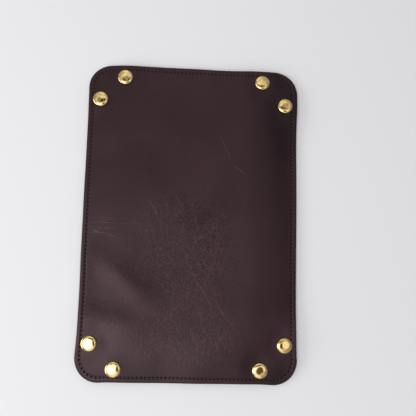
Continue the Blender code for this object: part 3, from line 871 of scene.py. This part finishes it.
def stitch_mesh(name, numbers, surface_z, facing, material):
    """Tubes along short bows. Each middle line runs along the seam and rises as a half sine; the tube's
    points go round it in a circle that shrinks at both ends."""
    share = np.linspace(-0.5, 0.5, BOW_STEPS + 1)
    arch = np.cos(share * np.pi)
    along = (numbers[:, None] + 0.5 + share * STITCH_LENGTH_SHARE) * STITCH_PITCH
    centre, outward = outline_point(along, np.full(along.shape, STITCH_INSET))
    broad, groove = relief(centre[..., 0], centre[..., 1])
    centre = centre + outward * stray(along, STITCH_INSET)[..., None]
    sink = groove * (1.0 if facing > 0 else LINING_GROOVE)
    height = surface_z + broad + sink + facing * (STITCH_RISE * arch - THREAD_RADIUS * STITCH_SINK)
    thin = THREAD_RADIUS * (1 - THREAD_TAPER + THREAD_TAPER * arch ** 0.5)
    turn = np.arange(THREAD_SIDES) / THREAD_SIDES * 2 * np.pi
    ring_out = thin[None, :, None] * np.cos(turn)
    x = centre[..., 0, None] + outward[..., 0, None] * ring_out
    y = centre[..., 1, None] + outward[..., 1, None] * ring_out
    z = height[..., None] + thin[None, :, None] * np.sin(turn)
    points = np.stack(np.broadcast_arrays(x, y, z), -1).reshape(-1, 3)
    tube = tube_faces(BOW_STEPS + 1, THREAD_SIDES)
    starts = np.arange(len(numbers)) * (BOW_STEPS + 1) * THREAD_SIDES
    faces = (tube[None] + starts[:, None, None]).reshape(-1, 3)
    return mesh_piece(name, points, faces, material)


def tube_faces(rows, sides):
    """Triangles of a closed tube: the wall between its rows of points, and a fan over each end."""
    row, side = np.meshgrid(np.arange(rows - 1), np.arange(sides), indexing="ij")
    a, b = (row * sides + side).ravel(), (row * sides + (side + 1) % sides).ravel()
    wall = [np.stack([a, b + sides, b], 1), np.stack([a, a + sides, b + sides], 1)]
    fan = np.arange(1, sides - 1)
    first = np.stack([np.zeros_like(fan), fan, fan + 1], 1)
    last = np.stack([np.zeros_like(fan), fan + 1, fan], 1) + (rows - 1) * sides
    return np.concatenate(wall + [first, last])


THREAD = thread_material()
numbers = np.arange(STITCH_COUNT)
middles, _ = outline_point((numbers + 0.5) * STITCH_PITCH, np.full(len(numbers), STITCH_INSET))
off_snaps = np.hypot(middles[:, None, 0] - SNAPS[:, 0], middles[:, None, 1] - SNAPS[:, 1])
under_cap = (off_snaps < UNDER_CAP).any(1)
stitch_panel = panel_names(middles[:, 0], middles[:, 1])
for body in sorted(set(stitch_panel)):
    mine = stitch_panel == body
    sides = (("outer", numbers[mine & ~under_cap], OUTER_Z, 1), ("lining", numbers[mine], LINING_Z, -1))
    for side, members, z, facing in sides:
        if len(members):
            thread = stitch_mesh(f"{body}_{side}_stitches", members, z, facing, THREAD)
            follow(thread, str(body))
print(STITCH_COUNT, "stitches,", int(under_cap.sum()), "of them hidden under caps")

# %% [markdown]
# ## Turned metal: caps, studs, sockets and their springs
#
# Snaps are drawn and turned from brass sheet, so each is a profile carried round an axis. The profile is a
# list of points whose curved stretches are formulas, and the surface is an outer product: radius times
# cosine and sine of the turn. The cap's top is a superellipse, flat in the middle with a rounded shoulder.
# A cap is hammered shut when it is set, so each gets its own few shallow dents and a slight tilt.

# %% Turned surfaces
TURN_STEPS = 72


def turned(name, profile, closed, centre, material, dent=None):
    """Each (radius, height) of the profile is carried round the axis; an open profile ends on the axis."""
    profile = np.asarray(profile, float)
    angle = np.arange(TURN_STEPS) / TURN_STEPS * 2 * np.pi
    ring = profile if closed else profile[1:-1]
    x = ring[:, 0, None] * np.cos(angle)
    y = ring[:, 0, None] * np.sin(angle)
    z = np.repeat(ring[:, 1, None], TURN_STEPS, 1)
    points = np.stack([x, y, z], -1).reshape(-1, 3)
    rows = len(ring)
    here = np.arange(rows if closed else rows - 1)
    after = (here + 1) % rows
    step, following = np.arange(TURN_STEPS), (np.arange(TURN_STEPS) + 1) % TURN_STEPS
    a = (here[:, None] * TURN_STEPS + step).ravel()
    b = (here[:, None] * TURN_STEPS + following).ravel()
    c = (after[:, None] * TURN_STEPS + following).ravel()
    d = (after[:, None] * TURN_STEPS + step).ravel()
    faces = [np.stack([a, d, c], 1), np.stack([a, c, b], 1)]
    if not closed:
        top, bottom = len(points), len(points) + 1
        points = np.concatenate([points, [(0, 0, profile[0, 1]), (0, 0, profile[-1, 1])]])
        faces.append(np.stack([np.full(TURN_STEPS, top), step, following], 1))
        low = (rows - 1) * TURN_STEPS
        faces.append(np.stack([np.full(TURN_STEPS, bottom), low + following, low + step], 1))
    if dent is not None:
        points = dent(points)
    return mesh_piece(name, points + np.asarray(centre), np.concatenate(faces), material)


# %% The cap's profile, and what hammering does to it
cap_low, cap_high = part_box("cap_front_left_end")
CAP_RADIUS = (cap_high.x - cap_low.x) / 2
CAP_HEIGHT, CAP_FOOT = cap_high.z - OUTER_Z, cap_low.z - OUTER_Z
BARREL_RADIUS, BORE_RADIUS = 1.2 * MM, 0.85 * MM
FLARE_RADIUS, FLARE_THICK = 1.6 * MM, 0.3 * MM
SHOULDER_POWER, CROWN = 3.2, 0.28 * MM
RIM_HEIGHT, CURL = 0.55 * MM, 0.35 * MM
CAP_SEAT, CAP_METAL = 0.05 * MM, 0.2 * MM
HOLLOWS, HOLLOW_REACH, HOLLOW_WIDTHS, HOLLOW_DEPTHS = 5, 3.6, (0.9, 2.4), (0.02, 0.075)


def cap_profile():
    """Superellipse from the crown to the rim, a quarter of an ellipse that curls the rim under, then the
    barrel down through the sheet, its flared foot, and the bore."""
    t = np.linspace(0, np.pi / 2, 22)
    radius = CAP_RADIUS * np.sin(t) ** (2 / SHOULDER_POWER)
    rise = (CAP_HEIGHT - CROWN - RIM_HEIGHT) * np.cos(t) ** (2 / SHOULDER_POWER)
    dome = RIM_HEIGHT + rise + CROWN * (1 - (radius / CAP_RADIUS) ** 2)
    s = np.linspace(0, np.pi / 2, 7)[1:]
    curl = np.stack([CAP_RADIUS - CURL + CURL * np.cos(s), RIM_HEIGHT - RIM_HEIGHT * np.sin(s)], 1)
    t = np.linspace(0, np.pi, 7)
    flare_middle = CAP_FOOT + FLARE_THICK / 2
    flare = np.stack([FLARE_RADIUS - FLARE_THICK / 2 + FLARE_THICK / 2 * np.sin(t),
                      flare_middle + FLARE_THICK / 2 * np.cos(t)], 1)
    return np.concatenate([
        np.stack([radius, dome], 1),
        curl,
        [(CAP_RADIUS - 2 * CURL, CAP_SEAT), (BARREL_RADIUS, CAP_SEAT)],
        [(BARREL_RADIUS, CAP_FOOT + FLARE_THICK)],
        flare,
        [(BORE_RADIUS, CAP_FOOT), (BORE_RADIUS, CAP_SEAT - CAP_METAL), (0.0, CAP_SEAT - CAP_METAL)],
    ])


print("cap", round(2 * CAP_RADIUS / MM, 2), "mm wide,", round(CAP_HEIGHT / MM, 2), "mm over the sheet,",
      len(cap_profile()), "points in its profile")


def hammered(seed, tilt_x, tilt_y):
    """Shallow round hollows pressed into the cap, as bell curves in mm, and a small tilt in degrees. Both
    grow with height over the sheet, so the foot stays where it is."""
    chance = np.random.default_rng(seed)
    hollows = [(*chance.uniform(-HOLLOW_REACH, HOLLOW_REACH, 2), chance.uniform(*HOLLOW_WIDTHS),
                chance.uniform(*HOLLOW_DEPTHS)) for _ in range(HOLLOWS)]
    slope_x, slope_y = np.tan(np.radians((tilt_x, tilt_y)))

    def shape(points):
        moved = points.copy()
        top = np.clip(points[:, 2] / CAP_HEIGHT, 0, 1)
        for hollow_x, hollow_y, width, depth in hollows:
            far = (points[:, 0] / MM - hollow_x) ** 2 + (points[:, 1] / MM - hollow_y) ** 2
            moved[:, 2] -= top * depth * MM * np.exp(-far / (2 * width ** 2))
        moved[:, 2] += top * (points[:, 0] * slope_x + points[:, 1] * slope_y)
        return moved
    return shape


# %% [markdown]
# ## Brass and steel
#
# The metal is warm polished brass. It has been handled, so its shine isn't even: very fine marks, a haze
# where fingers touch, and a darker, duller ring where dirt gathers at the foot of the rim. The caps carry
# that ring as an attribute named rim; on the other pieces it is missing and reads as 0. The wire rings are
# spring steel, made by the same graph with grey colours and less polish.

# %% Metal materials
RIM_TARNISH = (0.55 * MM, 0.95 * MM)
TARNISH = colour(84, 56, 30)


def metal_material(name, light, dark, polish, dull):
    """A haze mixes two tones and two roughnesses; the rim is tarnished over it."""
    g = Graph(bpy.data.materials.new(name))
    place = g.add("ShaderNodeTexCoord").outputs["Object"]
    haze = g.noise(place, 420.0, 3.0, 0.6)
    rim = g.attribute("rim", "Fac")
    base = g.paint(g.mix(g.ramp(haze, 0.35, 0.7), light, dark), rim, 0.85, TARNISH)
    rough = g.math("MULTIPLY_ADD", rim, 0.30, g.ramp(haze, 0.3, 0.72, polish, dull))
    marks = g.bump(g.noise(place, 2600.0, 2.0, 0.6), 0.006 * MM, 0.35)
    normal = g.bump(haze, 0.03 * MM, 0.25, marks)
    return g.finish(Base_Color=base, Roughness=rough, Normal=normal, Metallic=1.0)


BRASS = metal_material("polished_brass", colour(236, 208, 142), colour(212, 180, 112), 0.06, 0.13)
STEEL = metal_material("spring_steel", colour(190, 190, 192), colour(150, 150, 153), 0.18, 0.34)
print("materials", [material.name for material in bpy.data.materials])

# %% Caps
# Tilt of each cap as degrees of rise to the right and to the back
CAP_TILTS = {
    "back_left_end": (-1.5, 2.5), "back_left_side": (-1.5, 2.0), "back_right_end": (0.5, -2.0),
    "back_right_side": (1.8, 1.4), "front_left_end": (-0.5, 0.0), "front_left_side": (0.3, 0.2),
    "front_right_end": (1.0, -1.0), "front_right_side": (-2.6, -0.5),
}
# Each cap draws its dents from a seed of its own, counted on from this one
FIRST_SEED = 11


def middle_of(low, high, z):
    """The middle of a box in plan, at a height of its own."""
    return (low.x + high.x) / 2, (low.y + high.y) / 2, z


for seed, (place, tilts) in enumerate(CAP_TILTS.items(), FIRST_SEED):
    low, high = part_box("cap_" + place)
    cap = turned("brass_cap_" + place, cap_profile(), False, middle_of(low, high, OUTER_Z), BRASS,
                 hammered(seed, *tilts))
    heights = np.array([vertex.co.z for vertex in cap.data.vertices]) - OUTER_Z
    above_rim = (heights - RIM_TARNISH[0]) / (RIM_TARNISH[1] - RIM_TARNISH[0])
    store(cap, "rim", "FLOAT", 1 - np.clip(above_rim, 0, 1))
    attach(cap, "ear_" + place)
    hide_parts("cap_" + place)
print(len(CAP_TILTS), "caps,", len(cap.data.polygons), "faces each")

# %% [markdown]
# ## The snaps' other halves, under the sheet
#
# On one side of a corner the cap's barrel holds a stud, on the other a socket. The stud is a little hat: a
# flange, a neck and a ball head. The socket is a flange with a collar, whose lip is rolled in over a wire
# ring. The ring is open, so it springs over the stud's head and grips its neck. Stud and socket are closed
# profiles carried round the axis, with the solids' sizes and with the outer corners rounded off.

# %% Sockets, springs and studs
HOLE_RADIUS = BARREL_RADIUS + 0.15 * MM
SHEET_METAL = 0.4 * MM
NECK_RADIUS, HEAD_RADIUS, CAVITY_RADIUS = 2.1 * MM, 2.5 * MM, 1.75 * MM
FLANGE_UNDER, PLATE_UNDER = 0.7 * MM, 0.9 * MM
MOUTH_RADIUS, CHAMBER_RADIUS, COLLAR_RADIUS = 2.9 * MM, 3.25 * MM, 3.95 * MM
LIP = 0.45 * MM
RING_GAP, RING_STEPS, WIRE_SIDES = np.radians(40), 60, 10


def corner_arc(middle_r, middle_z, radius, start, stop, steps=6):
    """Points on a circle in the profile's plane, from one angle to another, in degrees."""
    angle = np.radians(np.linspace(start, stop, steps))
    return np.stack([middle_r + radius * np.cos(angle), middle_z + radius * np.sin(angle)], 1)


def socket_profile(outer, top, bottom):
    """Plate with a round rim, a small hollow curve down to the collar, and the lip rolled in at the mouth."""
    rim, hollow, turn_in = PLATE_UNDER / 2, 0.25 * MM, 0.35 * MM
    return np.concatenate([
        [(HOLE_RADIUS, top)],
        corner_arc(outer - rim, top - rim, rim, 90, -90, 9),
        corner_arc(COLLAR_RADIUS + hollow, top - PLATE_UNDER - hollow, hollow, 90, 180, 4),
        corner_arc(COLLAR_RADIUS - turn_in, bottom + turn_in, turn_in, 0, -90),
        corner_arc(MOUTH_RADIUS + LIP / 2, bottom + LIP / 2, LIP / 2, -90, -270, 7),
        [(CHAMBER_RADIUS, bottom + LIP), (CHAMBER_RADIUS, top - SHEET_METAL)],
        [(HOLE_RADIUS, top - SHEET_METAL)],
    ])


def stud_profile(outer, top, bottom):
    """Flange with a round rim, a hollow curve down to the neck, and a ball head that is open below."""
    rim, hollow, ball = FLANGE_UNDER / 2, 0.35 * MM, 0.55 * MM
    return np.concatenate([
        [(HOLE_RADIUS, top)],
        corner_arc(outer - rim, top - rim, rim, 90, -90, 9),
        corner_arc(NECK_RADIUS + hollow, top - FLANGE_UNDER - hollow, hollow, 90, 180, 5),
        corner_arc(HEAD_RADIUS - ball, bottom + ball + 0.05 * MM, ball, 42, -78, 9),
        [(CAVITY_RADIUS, bottom), (CAVITY_RADIUS, top - SHEET_METAL), (HOLE_RADIUS, top - SHEET_METAL)],
    ])


def ring_wire(name, centre, radius, wire, gap, material):
    """A wire carried along most of a circle, with flat ends: an open spring ring."""
    path = np.linspace(gap / 2, 2 * np.pi - gap / 2, RING_STEPS)[:, None]
    about = np.arange(WIRE_SIDES) / WIRE_SIDES * 2 * np.pi
    out = radius + wire * np.cos(about)[None, :]
    points = np.broadcast_arrays(out * np.cos(path), out * np.sin(path), wire * np.sin(about)[None, :])
    points = np.stack(points, -1).reshape(-1, 3) + np.asarray(centre)
    return mesh_piece(name, points, tube_faces(RING_STEPS, WIRE_SIDES), material)


for place in PLACES.values():
    low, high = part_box("socket_" + place)
    axis = middle_of(low, high, 0.0)
    cup = turned("snap_socket_" + place, socket_profile((high.x - low.x) / 2, high.z, low.z), True, axis,
                 BRASS)
    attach(cup, "ear_" + place + "_side")
    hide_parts("socket_" + place)
    low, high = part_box("ring_spring_" + place)
    wire = (high.z - low.z) / 2
    ring = ring_wire("snap_ring_" + place, (*axis[:2], (low.z + high.z) / 2), (high.y - low.y) / 2 - wire,
                     wire, RING_GAP, STEEL)
    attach(ring, "ear_" + place + "_side")
    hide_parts("ring_spring_" + place)
    low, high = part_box("stud_" + place)
    axis = middle_of(low, high, 0.0)
    stud = turned("snap_stud_" + place, stud_profile((high.x - low.x) / 2, high.z, low.z), True, axis, BRASS)
    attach(stud, "ear_" + place + "_end")
    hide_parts("stud_" + place)
for piece in (cup, ring, stud):
    print(piece.name, len(piece.data.polygons), "faces")

# %% [markdown]
# ## The floor and the lamps
#
# The table is white and most of the light comes from the left. A wide low lamp at the left gives the
# leather its sheen, a smaller one stands higher up, and a faint one over the back lifts the far edge. The
# world gives an even pale fill, so a colour renders about as it is written.

# %% Floor
FLOOR_REACH = 6.0
floor_graph = Graph(bpy.data.materials.new("pale_table"))
TABLE = floor_graph.finish(Base_Color=colour(234, 234, 235), Roughness=0.7, Specular_IOR_Level=0.2)
floor_corners = FLOOR_REACH * np.array([(-1, -1, 0), (1, -1, 0), (1, 1, 0), (-1, 1, 0)])
floor = mesh_piece("floor", floor_corners, np.array([(0, 1, 2, 3)]), TABLE)
print("floor", 2 * FLOOR_REACH, "m wide")


# %% Lamps
def soft_lamp(name, place, wide, high, power):
    """An oval lamp that faces the tray's middle: place in metres, its two sizes in metres, power in watts."""
    lamp = bpy.data.lights.new(name, "AREA")
    lamp.shape = "ELLIPSE"
    lamp.size = wide
    lamp.size_y = high
    lamp.energy = power
    holder = bpy.data.objects.new(name, lamp)
    holder.location = place
    holder.rotation_euler = (-Vector(place)).to_track_quat("-Z", "Y").to_euler()
    bpy.context.scene.collection.objects.link(holder)


soft_lamp("window_light", (-0.50, -0.36, 1.25), 0.72, 0.72, 4.6)
soft_lamp("low_window", (-1.25, -0.30, 0.42), 1.50, 0.80, 11.3)
soft_lamp("back_panel", (-0.15, 0.95, 0.80), 0.60, 0.60, 0.4)
print("lamps", len(bpy.data.lights))

# %% [markdown]
# ## The room in the caps
#
# The world is a pale room: even, and darker low over the horizon, as a room is below its windows. Soft
# patches overhead stand for the bright and dark parts of a room that a cap mirrors; each is the angle to a
# direction, put through a smooth step. Flat leather hardly sees them, but a polished cap shows them all,
# and a dark edge beside the light is what makes metal look like metal. The camera itself sees a plain pale
# colour where the table ends.

# %% World
EVEN, HORIZON_LOSS, HORIZON_BAND = 0.53, 0.25, (0.15, 0.45)
# Patches as (degrees to the right of straight up, degrees to the back, angle where it starts, angle where
# it is full, strength that it adds or takes)
PATCHES = [
    (3.0, 1.0, 34.0, 18.0, 0.54), (-13.0, -11.0, 15.0, 9.0, 0.6), (7.0, -10.0, 11.0, 7.5, -0.95),
    (-9.0, 10.0, 8.0, 5.0, -0.75), (0.0, 10.0, 8.0, 5.0, -0.75), (8.0, 13.0, 8.0, 5.0, -0.75),
    (22.0, -6.0, 10.0, 6.0, 0.6), (-3.0, -3.0, 7.0, 4.0, 0.5), (-4.0, -37.0, 22.0, 12.0, 0.8),
    (38.0, 0.0, 30.0, 15.0, -0.20), (-5.0, 35.0, 25.0, 12.0, 0.25),
]
world = bpy.data.worlds.new("room_light")
sky = Graph(world)
direction = sky.add("ShaderNodeTexCoord").outputs["Generated"]
apart = sky.add("ShaderNodeSeparateXYZ", None, Vector=direction)
strength = sky.ramp(apart.outputs["Z"], *HORIZON_BAND, EVEN - HORIZON_LOSS, EVEN)
for right, back, starts, full, added in PATCHES:
    towards = np.array([np.tan(np.radians(right)), np.tan(np.radians(back)), 1.0])
    facing = sky.add("ShaderNodeVectorMath", {"operation": "DOT_PRODUCT"})
    facing.inputs[1].default_value = (towards / np.linalg.norm(towards)).tolist()
    sky.links.new(direction, facing.inputs[0])
    starts, full = np.cos(np.radians((starts, full)))
    strength = sky.math("ADD", strength, sky.ramp(facing.outputs["Value"], starts, full, 0.0, added))
strength = sky.most(strength, sky.add("ShaderNodeLightPath").outputs["Is Camera Ray"])
background = sky.nodes["Background"]
background.inputs["Color"].default_value = colour(240, 239, 242)
sky.links.new(strength, background.inputs["Strength"])
bpy.context.scene.world = world
bpy.context.scene.view_settings.view_transform = "Standard"
print("world nodes", len(sky.nodes))

# %% [markdown]
# ## The hand-in
#
# The two boxes, of the solid model and of the dressed one, are kept side by side, so that anyone can see
# that the dress fits the body.

# %% Print the solid model's box
print("solid model", [tuple(round(c, 4) for c in corner) for corner in cad_box])
